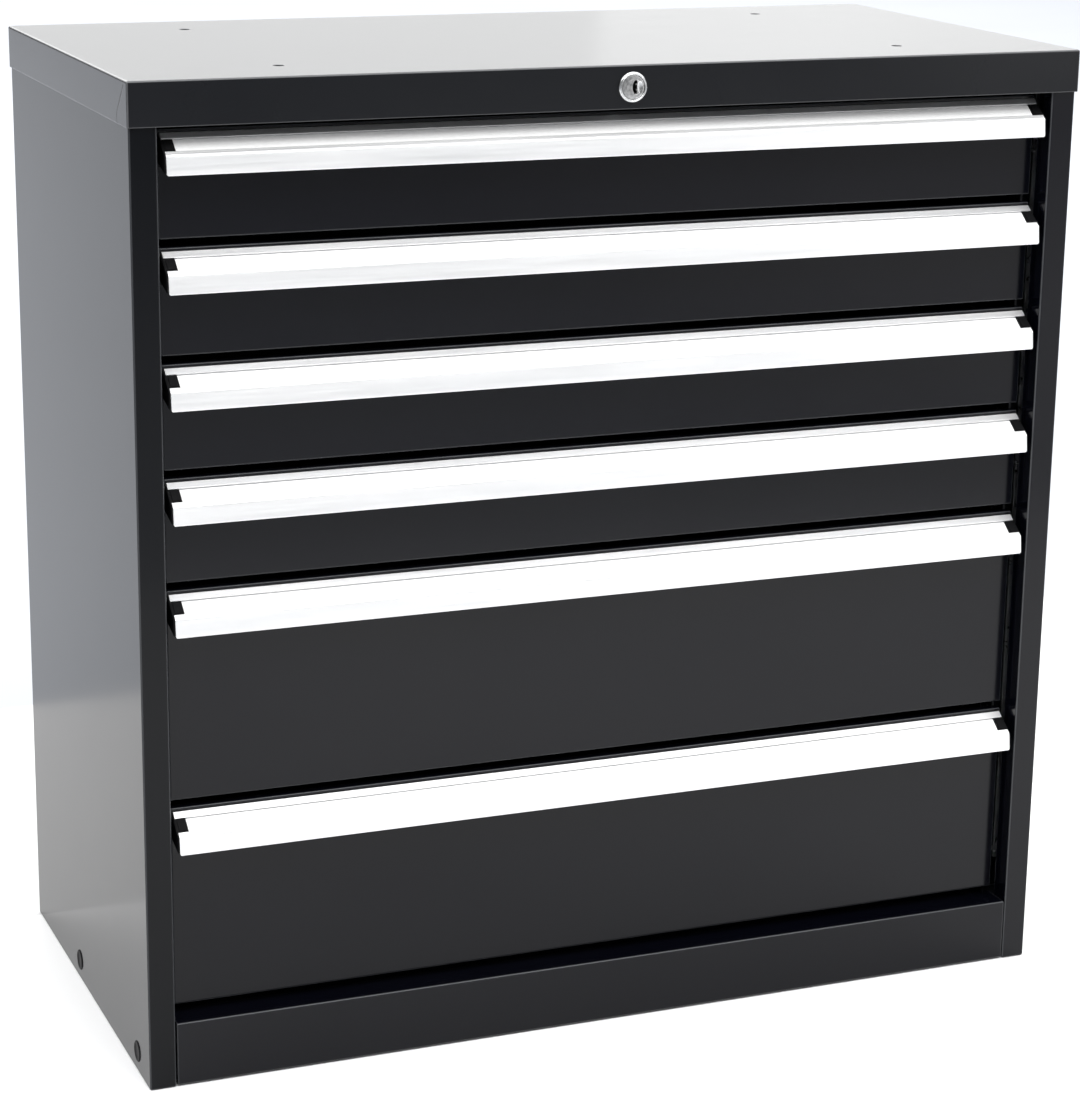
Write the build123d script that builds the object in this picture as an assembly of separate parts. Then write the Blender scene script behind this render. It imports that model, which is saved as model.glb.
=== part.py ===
from build123d import *
import math
import os

# Tool cabinet with six drawers on telescopic slides and one central lock.
# Millimetres. +Z is up, the front faces -Y, and the origin is on the floor under the middle.
# Every piece is written to its own file in parts/.

os.makedirs("parts", exist_ok=True)

# Height of the whole cabinet. The high drawers take what the other heights leave.
HEIGHT = 900.0

# Sheets, bends and clearances
SHEET = 1.2
BEND_R = 2.0
SEAT = 0.3          # between pieces that are fixed to each other
RUN = 0.4           # between pieces that slide past each other
SCREW_FIT = 0.25    # round the shaft of a screw

# Cap
CAP_HALF_W = 450.0
CAP_FRONT = -225.0
CAP_BACK = 225.0
CAP_SKIRT = 38.5
SKIRT_RETURN = 12.0
CAP_FRONT_LAP = 3.0
CAP_SIDE_LAP = 1.5

# Seam of the lapped front corners of the cap: (back from the front, down from the top)
LAP_SEAM = [(9.5, 4.0), (33.0, 29.0), (33.0, 39.0)]
SEAM_W = 0.9
SEAM_DEPTH = 0.8

# Posts and flanges of the side panels
POST_W = 24.3
POST_RETURN = 22.0
REAR_FLANGE = 20.5
END_FLANGE = 20.5
BACK_PANEL_T = 1.0

# Plinth and base
PLINTH_H = 60.0
PLINTH_JOINT = 1.5
PLINTH_DEPTH = 32.0
PLINTH_FOLD_GAP = 14.0
PAN_FLANGE = 24.0

# Drawers, from the top down, and the gaps over the plinth and behind the skirt
LOW_MODULE = 100.0
LOW_COUNT = 4
HIGH_COUNT = 2
STACK_GAP = 3.5
SKIRT_LAP = 2.0
FRONT_RECESS = 22.0
FRONT_SIDE_GAP = 5.2
FRONT_FOLD = 9.0
FRONT_FLANGE = 18.0
FRONT_EDGE_R = 1.5
FRONT_TOP_DROP = 7.0
FRONT_LIFT = 0.3
LAST_FRONT_LIFT = 5.5
FRONT_SHEET = 1.0
TRAY_SHEET = 1.0
TRAY_BACK_GAP = 11.7
TRAY_LIFT = 6.0
TRAY_TOP_DROP = 20.0
TRAY_HEM = 6.0

# Telescopic slides: u runs from the upright towards the drawer, v is up from the middle
SLIDE_T = 12.7
SLIDE_INSET = 0.7
SLIDE_MID_Z = 28.5
OUTER_HALF_H = 22.5
OUTER_SHEET = 1.2
MIDDLE_HALF_H = 18.1
MIDDLE_BACK = 1.6
MIDDLE_SHEET = 1.0
INNER_HALF_H = 14.3
INNER_BACK = 4.0
INNER_SHEET = 1.0
SLIDE_BEND_R = 1.6

# Uprights, their slots, and the hooks of the slides in the slots
UPRIGHT_INSET = 0.3
UPRIGHT_W = 30.0
UPRIGHT_SHEET = 1.5
UPRIGHT_FROM_FRONT = 29.0
UPRIGHT_FROM_BACK = 43.0
SLOT_PITCH = 50.0
SLOT_W = 4.0
SLOT_H = 12.0
SLOT_APART = 12.0
HOOK_REACH = 4.0

# Handle profile: it slopes down from the front face, then drops as a lip
HANDLE_INSET = 1.7
HANDLE_TOP_DROP = 9.6
SLOPE_DY = 21.8
SLOPE_DZ = 16.6
LIP_DY = 2.0
LIP_DZ = 16.6
LIP_T = 2.0
SLOPE_T = 3.8
LEG_LEN = 22.0
LEG_T = 1.8
STRIP_W = 7.2
CHANNEL_W = 15.0
CHANNEL_DEPTH = 2.4
CHANNEL_LIP = 1.0
LABEL_T = 0.8
LABEL_SLIT = 0.8
END_CAP_W = 9.7
END_PLATE_T = 1.0
END_PLATE_H = 25.0

# Lock
LOCK_DROP = 19.3
BEZEL_R = 13.5
BEZEL_T = 3.0
BARREL_R = 9.3
PLUG_HEAD_R = 10.5
PLUG_HEAD_T = 1.6
PLUG_HEAD_INSET = 0.3
PLUG_R = 6.2
KEYWAY_W = 3.0
KEYWAY_H = 11.5
KEYWAY_DEPTH = 16.0
TAIL_HALF = 3.0
NUT_R = 13.5
NUT_T = 5.0
CAM_R = 7.0
CAM_T = 2.4
CAM_HUB_R = 6.0
CAM_PIN_R = 2.0
CAM_GAP = 1.4
LINK_CLEAR = 2.0
LINK_GAP = 2.2
LINK_T = 2.0
LINK_TAIL = 14.0
LINK_UNDER = 2.0
LINK_OVER = 15.0
ARM_W = 24.0
BAR_CLEAR = 1.0
BAR_INSET = 2.5
BAR_W = 14.0
BAR_T = 2.5
BAR_PIN_R = 2.2
BAR_PIN_INSET = 3.0
BAR_PIN_DROP = 8.7
BAR_END_GAP = 36.5
LUG_DROP = 29.0
LUG_H = 7.0
LUG_REACH = 8.0
LUG_GAP = 1.2
FINGER_H = 6.0
FINGER_GAP = 2.3
GUIDE_SHEET = 1.5
GUIDE_W = 16.0
GUIDE_WALL_H = 18.0
GUIDE_RISE = 38.5
LINK_GUIDES_AT = [100.0, 300.0]

# Holes and screws
TOP_HOLE_R = 5.0
TOP_HOLE_X = 298.0
TOP_HOLE_Y = 151.0
PLUG_STEM_R = 8.0
PLUG_STEM_LEN = 5.0
PLUG_FLANGE_R = 10.0
PLUG_FLANGE_T = 0.9
PLUG_HOLES_AT = [44.5, 265.3]
PLUG_HOLE_Z = 18.5
SCREW_R = 2.0
SCREW_HEAD_R = 3.9
SCREW_HEAD_H = 3.0
SCREW_LEN = 8.0
SCREW_EDGE = 10.5
SCREW_END = 100.0
CAP_SCREW_DROP = 20.0

# Heights that follow
SKIRT_BOTTOM = HEIGHT - CAP_SKIRT
MODULE_TOP = SKIRT_BOTTOM + SKIRT_LAP
STACK_LOW = PLINTH_H + STACK_GAP
HIGH_MODULE = (MODULE_TOP - STACK_LOW - LOW_COUNT * LOW_MODULE) / HIGH_COUNT
MODULES = [LOW_MODULE] * LOW_COUNT + [HIGH_MODULE] * HIGH_COUNT
BODY_TOP = HEIGHT - SHEET - SEAT
PAN_TOP = PLINTH_H - SHEET - SEAT
LOCK_Z = HEIGHT - LOCK_DROP
BAR_PIN_Z = LOCK_Z - BAR_PIN_DROP
CAP_SCREW_Z = HEIGHT - CAP_SCREW_DROP
SCREW_Z = [SCREW_END, HEIGHT / 2, HEIGHT - SCREW_END]

# Places from left to right that follow, all for the right side
BODY_HALF_W = CAP_HALF_W - CAP_SIDE_LAP
POST_INNER = BODY_HALF_W - POST_W
PLINTH_HALF_W = POST_INNER - PLINTH_JOINT
FRONT_HALF_W = POST_INNER - FRONT_SIDE_GAP
HANDLE_HALF_W = FRONT_HALF_W - HANDLE_INSET
LABEL_END = HANDLE_HALF_W - END_CAP_W
UPRIGHT_FACE = POST_INNER + UPRIGHT_INSET
SLIDE_FACE = UPRIGHT_FACE - SEAT
TRAY_HALF_W = SLIDE_FACE - SLIDE_T - SEAT
SCREW_X = BODY_HALF_W - SCREW_EDGE
BAR_X = UPRIGHT_FACE + BAR_INSET
BAR_PIN_X = BAR_X + BAR_PIN_INSET

# Places from front to back that follow
BODY_FRONT = CAP_FRONT + CAP_FRONT_LAP
BODY_BACK = CAP_BACK - CAP_SIDE_LAP
BACK_PANEL_Y = BODY_BACK - SHEET - SEAT
FRONT_Y = BODY_FRONT + FRONT_RECESS
TRAY_FRONT_Y = FRONT_Y + FRONT_FOLD + SEAT
TRAY_LENGTH = BACK_PANEL_Y - BACK_PANEL_T - TRAY_BACK_GAP - TRAY_FRONT_Y
SLIDE_FRONT_Y = TRAY_FRONT_Y + SLIDE_INSET
SLIDE_LEN = TRAY_LENGTH
SLIDE_BACK_Y = SLIDE_FRONT_Y + SLIDE_LEN
UPRIGHT_Y = [SLIDE_FRONT_Y + UPRIGHT_FROM_FRONT, SLIDE_BACK_Y - UPRIGHT_FROM_BACK]
PLUG_HOLES_Y = [BODY_FRONT + y for y in PLUG_HOLES_AT]
LINK_Y = BODY_FRONT + POST_RETURN + LINK_CLEAR
CAM_Y = LINK_Y - LINK_GAP - CAM_T
BARREL_LEN = CAM_Y - CAM_GAP - CAP_FRONT
BAR_Y = FRONT_Y + FRONT_FOLD + BAR_CLEAR
HEAD_Y = CAP_FRONT - BEZEL_T + PLUG_HEAD_INSET

# Throw of the lock: the cam's pin goes from 45 degrees on one side to 45 degrees on the other
CAM_PIN_AT = CAM_R * math.sin(math.radians(45))
LOCK_TRAVEL = 2 * CAM_PIN_AT


def save(node, *solids):
    """Write the solids of one piece to parts/NODE.step."""
    flat = []
    for s in solids:
        flat.extend(s.solids())
    shape = flat[0] if len(flat) == 1 else Compound(children=flat)
    shape.label = node
    export_step(shape, "parts/" + node + ".step")


def block(x0, x1, y0, y1, z0, z1):
    """Box between two corners."""
    size = Box(x1 - x0, y1 - y0, z1 - z0)
    return Pos((x0 + x1) / 2, (y0 + y1) / 2, (z0 + z1) / 2) * size


def rod(x, y, z, r, length, axis):
    """Round bar from (x, y, z) along +X, +Y or +Z."""
    turn = {"x": Rot(0, 90, 0), "y": Rot(-90, 0, 0), "z": Rot(0, 0, 0)}[axis]
    bar = Cylinder(r, length, align=(Align.CENTER, Align.CENTER, Align.MIN))
    return Pos(x, y, z) * turn * bar


def rounded_face(corners):
    """Face inside the closed outline of (x, y, r) corners, each rounded to its radius r."""
    stops = []
    count = len(corners)
    for i, (x, y, r) in enumerate(corners):
        p = Vector(x, y)
        a = Vector(*corners[i - 1][:2]) - p
        b = Vector(*corners[(i + 1) % count][:2]) - p
        if r == 0:
            stops.append((p, None, p))
            continue
        a = a.normalized()
        b = b.normalized()
        half = math.acos(max(-1.0, min(1.0, a.dot(b)))) / 2
        reach = r / math.tan(half)
        centre = p + (a + b).normalized() * (r / math.sin(half))
        stops.append((p + a * reach, centre + (p - centre).normalized() * r, p + b * reach))
    edges = []
    for i, (start, middle, end) in enumerate(stops):
        if middle is not None:
            edges.append(ThreePointArc(start, middle, end))
        edges.append(Line(end, stops[(i + 1) % count][0]))
    return make_face(edges)


def sheet_outline(path, t, r):
    """Outline of a folded sheet: path is its outer line, the sheet lies t to the left of it.

    r is the outer bend radius.
    """
    count = len(path)
    normals = []
    for (x0, y0), (x1, y1) in zip(path, path[1:]):
        length = math.hypot(x1 - x0, y1 - y0)
        normals.append((-(y1 - y0) / length, (x1 - x0) / length))
    near = []
    far = []
    for i, (x, y) in enumerate(path):
        first = normals[max(i - 1, 0)]
        second = normals[min(i, count - 2)]
        k = t / (1 + first[0] * second[0] + first[1] * second[1])
        fx = x + (first[0] + second[0]) * k
        fy = y + (first[1] + second[1]) * k
        turn = first[0] * second[1] - first[1] * second[0]
        if i in (0, count - 1):
            near.append((x, y, 0))
            far.append((fx, fy, 0))
        elif turn > 0:
            near.append((x, y, r))
            far.append((fx, fy, r - t))
        else:
            near.append((x, y, r - t))
            far.append((fx, fy, r))
    return near + far[::-1]


def along_z(corners, z0, z1):
    """Prism of an outline given in X and Y."""
    return Pos(0, 0, z0) * extrude(rounded_face(corners), z1 - z0, dir=(0, 0, 1))


def along_x(corners, x0, x1):
    """Prism of an outline given in Y and Z."""
    face = Plane.YZ * rounded_face(corners)
    return Pos(x0, 0, 0) * extrude(face, x1 - x0, dir=(1, 0, 0))


def along_y(corners, y0, y1):
    """Prism of an outline given in X and Z."""
    face = Plane.XZ * rounded_face(corners)
    return Pos(0, y0, 0) * extrude(face, y1 - y0, dir=(0, 1, 0))


def mirrored(shape):
    """The same piece for the other side."""
    return mirror(shape, about=Plane.YZ)


# Side panels: one folded sheet each. The front fold is the post beside the drawers, and it turns
# back inside as a return. Flanges at the top and bottom stiffen the sheet and carry the cap.
def side_panel():
    path = [
        (BODY_HALF_W - REAR_FLANGE, BODY_BACK),
        (BODY_HALF_W, BODY_BACK),
        (BODY_HALF_W, BODY_FRONT),
        (POST_INNER, BODY_FRONT),
        (POST_INNER, BODY_FRONT + POST_RETURN),
    ]
    wall = along_z(sheet_outline(path[::-1], SHEET, BEND_R), 0, BODY_TOP)
    inner_x = BODY_HALF_W - END_FLANGE
    outer_x = BODY_HALF_W - SHEET / 2
    y0 = BODY_FRONT + SHEET / 2
    y1 = BODY_BACK - SHEET / 2
    wall += block(inner_x, outer_x, y0, y1, 0, SHEET)
    wall += block(inner_x, outer_x, y0, y1, BODY_TOP - SHEET, BODY_TOP)
    for y in PLUG_HOLES_Y:
        wall -= rod(BODY_HALF_W - 5, y, PLUG_HOLE_Z, PLUG_STEM_R + SEAT, 10, "x")
    for z in SCREW_Z + [CAP_SCREW_Z]:
        wall -= rod(SCREW_X, BODY_BACK - 5, z, SCREW_R + SCREW_FIT, 10, "y")
    return wall


right_side = side_panel()
save("side_panel_right", right_side)
save("side_panel_left", mirrored(right_side))


# Top cap: a folded tray upside down. The front skirt carries the lock and turns in at its lower
# edge between the posts. Four holes in the top take a worktop or a second cabinet.
def top_cap():
    depth = CAP_BACK - CAP_FRONT
    middle = (CAP_BACK + CAP_FRONT) / 2
    shell = Box(2 * CAP_HALF_W, depth, CAP_SKIRT)
    rims = shell.edges().filter_by(Axis.Z) + shell.edges().group_by(Axis.Z)[-1]
    shell = fillet(rims, BEND_R)
    hollow = Box(2 * (CAP_HALF_W - SHEET), depth - 2 * SHEET, CAP_SKIRT)
    rims = hollow.edges().filter_by(Axis.Z) + hollow.edges().group_by(Axis.Z)[-1]
    hollow = fillet(rims, BEND_R - SHEET)
    cap = Pos(0, middle, HEIGHT - CAP_SKIRT / 2) * (shell - Pos(0, 0, -SHEET) * hollow)
    edge = POST_INNER - 2 * RUN
    y0 = CAP_FRONT + SHEET / 2
    y1 = CAP_FRONT + SKIRT_RETURN
    cap += block(-edge, edge, y0, y1, SKIRT_BOTTOM, SKIRT_BOTTOM + SHEET)
    seam_path = [(CAP_FRONT + y, HEIGHT - z) for y, z in LAP_SEAM]
    seam = along_x(sheet_outline(seam_path, SEAM_W, SEAM_W), CAP_HALF_W - SEAM_DEPTH, CAP_HALF_W + 1)
    cap -= seam
    cap -= mirrored(seam)
    for sx in (-1, 1):
        for sy in (-1, 1):
            cap -= rod(sx * TOP_HOLE_X, sy * TOP_HOLE_Y, HEIGHT - 5, TOP_HOLE_R, 10, "z")
        cap -= rod(sx * SCREW_X, CAP_BACK - 5, CAP_SCREW_Z, SCREW_R + SCREW_FIT, 10, "y")
    cap -= rod(0, CAP_FRONT - 5, LOCK_Z, BARREL_R + SEAT, 10, "y")
    return cap


save("top_cap", top_cap())


# Back panel: flat sheet inside the rear flanges.
def back_panel():
    half_w = BODY_HALF_W - SHEET - SEAT
    y0 = BACK_PANEL_Y - BACK_PANEL_T
    panel = block(-half_w, half_w, y0, BACK_PANEL_Y, 2 * SHEET, BODY_TOP - 2 * SHEET)
    for sx in (-1, 1):
        for z in SCREW_Z + [CAP_SCREW_Z]:
            panel -= rod(sx * SCREW_X, BACK_PANEL_Y - 5, z, SCREW_R + SCREW_FIT, 10, "y")
    return panel


save("back_panel", back_panel())


# Rear screws: the upper pair also passes through the cap's rear skirt.
def rear_screw(x, y, z):
    head = rod(x, y, z, SCREW_HEAD_R, SCREW_HEAD_H, "y")
    head = chamfer(head.edges().group_by(Axis.Y)[-1], SCREW_HEAD_H / 3)
    return head + rod(x, y - SCREW_LEN, z, SCREW_R, SCREW_LEN + 0.5, "y")


screws = []
for side in (-1, 1):
    for level in SCREW_Z:
        screws.append(rear_screw(side * SCREW_X, BODY_BACK, level))
    screws.append(rear_screw(side * SCREW_X, CAP_BACK, CAP_SCREW_Z))
save("rear_screws", *screws)


# Plinth: face, top and bottom returns, and short folds at its two ends.
def plinth_panel():
    back = BODY_FRONT + PLINTH_DEPTH
    path = [(back, 0.0), (BODY_FRONT, 0.0), (BODY_FRONT, PLINTH_H), (back, PLINTH_H)]
    outline = sheet_outline([(y, z) for y, z in path[::-1]], SHEET, BEND_R)
    panel = along_x(outline, -PLINTH_HALF_W, PLINTH_HALF_W)
    for sx in (-1, 1):
        x0, x1 = sorted((sx * PLINTH_HALF_W, sx * (PLINTH_HALF_W - SHEET)))
        fold_end = back - PLINTH_FOLD_GAP
        panel += block(x0, x1, BODY_FRONT + BEND_R, fold_end, SHEET / 2, PLINTH_H - SHEET / 2)
    return panel


save("plinth_panel", plinth_panel())


# Base pan: floor under the lowest drawer, folded down all round and notched for the posts.
def base_pan():
    half_w = BODY_HALF_W - SHEET - SEAT
    notch_x = POST_INNER - SEAT
    notch_y = BODY_FRONT + POST_RETURN + SEAT
    front = BODY_FRONT + SHEET + SEAT
    back = BACK_PANEL_Y - BACK_PANEL_T - SEAT
    outline = [
        (-half_w, back, 0), (-half_w, notch_y, 0), (-notch_x, notch_y, 0), (-notch_x, front, 0),
        (notch_x, front, 0), (notch_x, notch_y, 0), (half_w, notch_y, 0), (half_w, back, 0),
    ]
    z0 = PAN_TOP - PAN_FLANGE
    pan = along_z(outline, PAN_TOP - SHEET, PAN_TOP)
    rim = PLINTH_HALF_W - SHEET - SEAT
    pan += block(-rim, rim, front, front + SHEET, z0, PAN_TOP - SHEET / 2)
    pan += block(-half_w, half_w, back - SHEET, back, z0, PAN_TOP - SHEET / 2)
    for sx in (-1, 1):
        x0, x1 = sorted((sx * half_w, sx * (half_w - SHEET)))
        pan += block(x0, x1, notch_y, back, z0, PAN_TOP - SHEET / 2)
    fold_end = BODY_FRONT + PLINTH_DEPTH - PLINTH_FOLD_GAP + 1
    slot = block(rim, notch_x + 1, BODY_FRONT, fold_end, z0, PAN_TOP + 1)
    pan -= slot
    pan -= mirrored(slot)
    return pan


save("base_pan", base_pan())


# Slotted uprights: channels open towards the side wall, with a row of slots for the slides.
def upright(y):
    outer = BODY_HALF_W - SHEET - SEAT
    half = UPRIGHT_W / 2
    path = [(outer, y - half), (UPRIGHT_FACE, y - half), (UPRIGHT_FACE, y + half), (outer, y + half)]
    outline = sheet_outline([(x, yy) for x, yy in path[::-1]], UPRIGHT_SHEET, UPRIGHT_SHEET + 1)
    top = BODY_TOP - SHEET - SEAT
    channel = along_z(outline, PAN_TOP + SEAT, top)
    x0 = UPRIGHT_FACE - 1
    x1 = UPRIGHT_FACE + UPRIGHT_SHEET + 1
    line = MODULE_TOP
    for module in MODULES:
        z = line - module + SLIDE_MID_Z
        while z < line + SLIDE_MID_Z - SLOT_H and z < top - SLOT_H:
            for dy in (-SLOT_APART / 2, SLOT_APART / 2):
                y0 = y + dy - SLOT_W / 2
                channel -= block(x0, x1, y0, y0 + SLOT_W, z - SLOT_H / 2, z + SLOT_H / 2)
            z += SLOT_PITCH
        line -= module
    return channel


channels = [upright(y) for y in UPRIGHT_Y]
save("slotted_uprights", *channels, *[mirrored(c) for c in channels])

# Side plugs: round covers with a hollow stem in the low holes of the side panels.
plugs = []
for hole_y in PLUG_HOLES_Y:
    flange = rod(BODY_HALF_W, hole_y, PLUG_HOLE_Z, PLUG_FLANGE_R, PLUG_FLANGE_T, "x")
    flange = chamfer(flange.edges().group_by(Axis.X)[-1], PLUG_FLANGE_T * 0.7)
    stem_x = BODY_HALF_W - PLUG_STEM_LEN
    stem = rod(stem_x, hole_y, PLUG_HOLE_Z, PLUG_STEM_R, PLUG_STEM_LEN, "x")
    stem -= rod(stem_x, hole_y, PLUG_HOLE_Z, PLUG_STEM_R - 1.5, PLUG_STEM_LEN, "x")
    plugs.append(flange + stem)
save("side_plugs", *plugs, *[mirrored(p) for p in plugs])


# Slide members. Each outline is drawn for the right side in (u, v), then placed at its height.
def slide_part(outline, mid_z):
    corners = [(SLIDE_FACE - u, mid_z + v, r) for u, v, r in outline]
    return along_y(corners, SLIDE_FRONT_Y, SLIDE_FRONT_Y + SLIDE_LEN)


def outer_member(mid_z):
    h = OUTER_HALF_H
    lip = MIDDLE_HALF_H + RUN
    u = SLIDE_T - 3.2
    path = [(u, -lip), (u, -h), (0.0, -h), (0.0, h), (u, h), (u, lip)]
    member = slide_part(sheet_outline(path[::-1], OUTER_SHEET, SLIDE_BEND_R), mid_z)
    for y in UPRIGHT_Y:
        y0 = y - SLOT_APART / 2 - SLOT_W / 2 + RUN
        y1 = y0 + SLOT_W - 2 * RUN
        z0 = mid_z - SLOT_H / 2 + RUN
        member += block(SLIDE_FACE - 0.5, SLIDE_FACE + HOOK_REACH, y0, y1, z0, mid_z)
    return member


def middle_member(mid_z):
    h = MIDDLE_HALF_H
    lip = INNER_HALF_H + RUN
    u0 = MIDDLE_BACK
    u1 = SLIDE_T - 2 * RUN
    path = [(u1, -lip), (u1, -h), (u0, -h), (u0, h), (u1, h), (u1, lip)]
    return slide_part(sheet_outline(path[::-1], MIDDLE_SHEET, SLIDE_BEND_R), mid_z)


def inner_member(mid_z):
    h = INNER_HALF_H
    foot = MIDDLE_HALF_H - MIDDLE_SHEET - RUN
    u = INNER_BACK
    path = [(u, foot), (u, h), (SLIDE_T, h), (SLIDE_T, -h), (u, -h), (u, -foot)]
    return slide_part(sheet_outline(path[::-1], INNER_SHEET, SLIDE_BEND_R), mid_z)


# Drawers
def tray(low, height):
    """Open box with hems along the top. The right wall has a lug that the lock bar can stop."""
    x1 = TRAY_HALF_W
    y0 = TRAY_FRONT_Y
    y1 = y0 + TRAY_LENGTH
    z0 = low + TRAY_LIFT
    z1 = low + height - TRAY_TOP_DROP
    t = TRAY_SHEET
    body = block(-x1, x1, y0, y1, z0, z1) - block(-x1 + t, x1 - t, y0 + t, y1 - t, z0 + t, z1 + 1)
    hem = block(-x1 + t / 2, x1 - t / 2, y0 + t / 2, y1 - t / 2, z1 - t, z1)
    hem -= block(-x1 + TRAY_HEM, x1 - TRAY_HEM, y0 + TRAY_HEM, y1 - TRAY_HEM, z1 - 5, z1 + 5)
    body += hem
    lug_y = BAR_Y + BAR_T + LUG_GAP
    lug_z = low + height - LUG_DROP
    body -= block(x1 - 3, x1 + 3, lug_y + t, lug_y + t + LUG_REACH, lug_z, lug_z + LUG_H)
    body += block(x1 - t, x1 + LUG_REACH, lug_y, lug_y + t, lug_z, lug_z + LUG_H)
    return body


def drawer_front(low, height, lift):
    """Face with its edges folded back and in again, so that a flange lies against the tray."""
    z0 = low + lift
    z1 = low + height - FRONT_TOP_DROP
    t = FRONT_SHEET
    face = block(-FRONT_HALF_W, FRONT_HALF_W, FRONT_Y, FRONT_Y + FRONT_FOLD, z0, z1)
    rims = face.edges().filter_by(Axis.Y) + face.edges().group_by(Axis.Y)[0]
    face = fillet(rims, FRONT_EDGE_R)
    back = FRONT_Y + FRONT_FOLD
    face -= block(-FRONT_HALF_W + t, FRONT_HALF_W - t, FRONT_Y + t, back - t, z0 + t, z1 - t)
    mouth = FRONT_HALF_W - FRONT_FLANGE
    return face - block(-mouth, mouth, back - 2 * t, back + 1, z0 + FRONT_FLANGE, z1 - FRONT_FLANGE)


# The handle's outline in Y and Z. s runs down the slope and d goes into the metal.
SLOPE_L = math.hypot(SLOPE_DY, SLOPE_DZ)


def on_slope(s, d, top):
    y0 = FRONT_Y - SEAT - 1.1
    z0 = top - HANDLE_TOP_DROP
    y = y0 - (s * SLOPE_DY - d * SLOPE_DZ) / SLOPE_L
    z = z0 - (s * SLOPE_DZ + d * SLOPE_DY) / SLOPE_L
    return (y, z)


def slope_block(s0, s1, d0, d1, top, x0, x1):
    corners = [on_slope(s, d, top) + (0,) for s, d in ((s0, d0), (s1, d0), (s1, d1), (s0, d1))]
    return along_x(corners, x0, x1)


def handle(top):
    w = HANDLE_HALF_W
    back = FRONT_Y - SEAT
    z0 = top - HANDLE_TOP_DROP
    bend_y, bend_z = on_slope(SLOPE_L, 0, top)
    foot_y = bend_y - LIP_DY
    foot_z = bend_z - LIP_DZ
    under_y, under_z = on_slope(SLOPE_L - 2.2, SLOPE_T, top)
    root_y, root_z = on_slope(4.6, SLOPE_T, top)
    leg_foot = z0 - LEG_LEN
    leg_y = back - LEG_T
    corners = [
        (back, z0 - 1.2, 0.5),
        (back - 1.1, z0, 0.5),
        (bend_y, bend_z, 3.0),
        (foot_y, foot_z, 0.8),
        (foot_y + LIP_T, foot_z, 0.8),
        (bend_y + LIP_T + 0.3, under_z - 0.6, 1.5),
        (under_y + 1.2, under_z + 1.0, 0),
        (leg_y, root_z, 1.5),
        (leg_y, leg_foot, 0),
        (back, leg_foot, 0),
    ]
    profile = along_x(corners, -w, w)
    s0 = STRIP_W
    s1 = STRIP_W + CHANNEL_W
    profile -= slope_block(s0, s1, -1.0, CHANNEL_DEPTH, top, -w - 1, w + 1)
    under = CHANNEL_DEPTH - LABEL_T - 2 * SEAT
    profile -= slope_block(s0 - CHANNEL_LIP, s1 + CHANNEL_LIP, under, CHANNEL_DEPTH, top, -w - 1, w + 1)
    return profile - lip_trim(foot_y, foot_z, -1) - lip_trim(foot_y, foot_z, 1)


def lip_trim(foot_y, foot_z, side):
    """What is cut away so that the lip's lower corner is round."""
    r = 2.0
    x1 = side * HANDLE_HALF_W
    square = block(*sorted((x1 - side * r, x1 + side)), foot_y - 3, foot_y + 4, foot_z - 1, foot_z + r)
    return square - rod(x1 - side * r, foot_y - 4, foot_z + r, r, 9, "y")


def label_strip(top):
    """Strip that stands in the channel's lower lip and leaves a slit along its upper edge."""
    s0 = STRIP_W + LABEL_SLIT
    s1 = STRIP_W + CHANNEL_W + CHANNEL_LIP - SEAT
    d1 = CHANNEL_DEPTH - SEAT
    return slope_block(s0, s1, d1 - LABEL_T, d1, top, -LABEL_END + SEAT, LABEL_END - SEAT)


def label_end_cap(top):
    """Foot in the label channel, and a plate that closes the hollow behind the slope and the lip."""
    s0 = STRIP_W + SEAT
    s1 = STRIP_W + CHANNEL_W - SEAT
    d1 = CHANNEL_DEPTH - SEAT
    d0 = d1 - LABEL_T
    lip = CHANNEL_LIP
    plate_x = HANDLE_HALF_W + SEAT
    back = FRONT_Y - SEAT
    z0 = top - HANDLE_TOP_DROP
    bend_y, bend_z = on_slope(SLOPE_L - 0.6, 0.4, top)
    foot_y = bend_y - LIP_DY + 0.8
    foot_z = bend_z - LIP_DZ + 1.8
    outline = [
        (back, z0 - 1.8, 0), (bend_y, bend_z, 1.5), (foot_y, foot_z, 0.5), (foot_y + 2.4, foot_z, 1),
        (back, z0 - END_PLATE_H, 0.5),
    ]
    cap = along_x(outline, plate_x, plate_x + END_PLATE_T)
    cap += slope_block(s0, s1, d0 - 0.4, d1, top, LABEL_END, plate_x + END_PLATE_T / 2)
    cap += slope_block(s0 - lip, s1 + lip, d0, d1, top, LABEL_END, HANDLE_HALF_W)
    cap += slope_block(s0 + 2, s1 - 2, d0 - 1, d0, top, LABEL_END + 2, HANDLE_HALF_W - 1.5)
    return cap


outer_members = []
low_lines = []
top_line = MODULE_TOP
for number, module in enumerate(MODULES, start=1):
    low_line = top_line - module
    lift = LAST_FRONT_LIFT if number == len(MODULES) else FRONT_LIFT
    mid = low_line + SLIDE_MID_Z
    save("drawer_tray_%d" % number, tray(low_line, module))
    save("drawer_front_%d" % number, drawer_front(low_line, module, lift))
    save("handle_%d" % number, handle(top_line))
    save("label_strip_%d" % number, label_strip(top_line))
    end_cap = label_end_cap(top_line)
    save("label_end_caps_%d" % number, end_cap, mirrored(end_cap))
    inner = inner_member(mid)
    save("slide_inner_%d" % number, inner, mirrored(inner))
    middle = middle_member(mid)
    save("slide_middle_%d" % number, middle, mirrored(middle))
    outer = outer_member(mid)
    outer_members += [outer, mirrored(outer)]
    low_lines.append(low_line)
    top_line = low_line
save("slide_outer_members", *outer_members)


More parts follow.
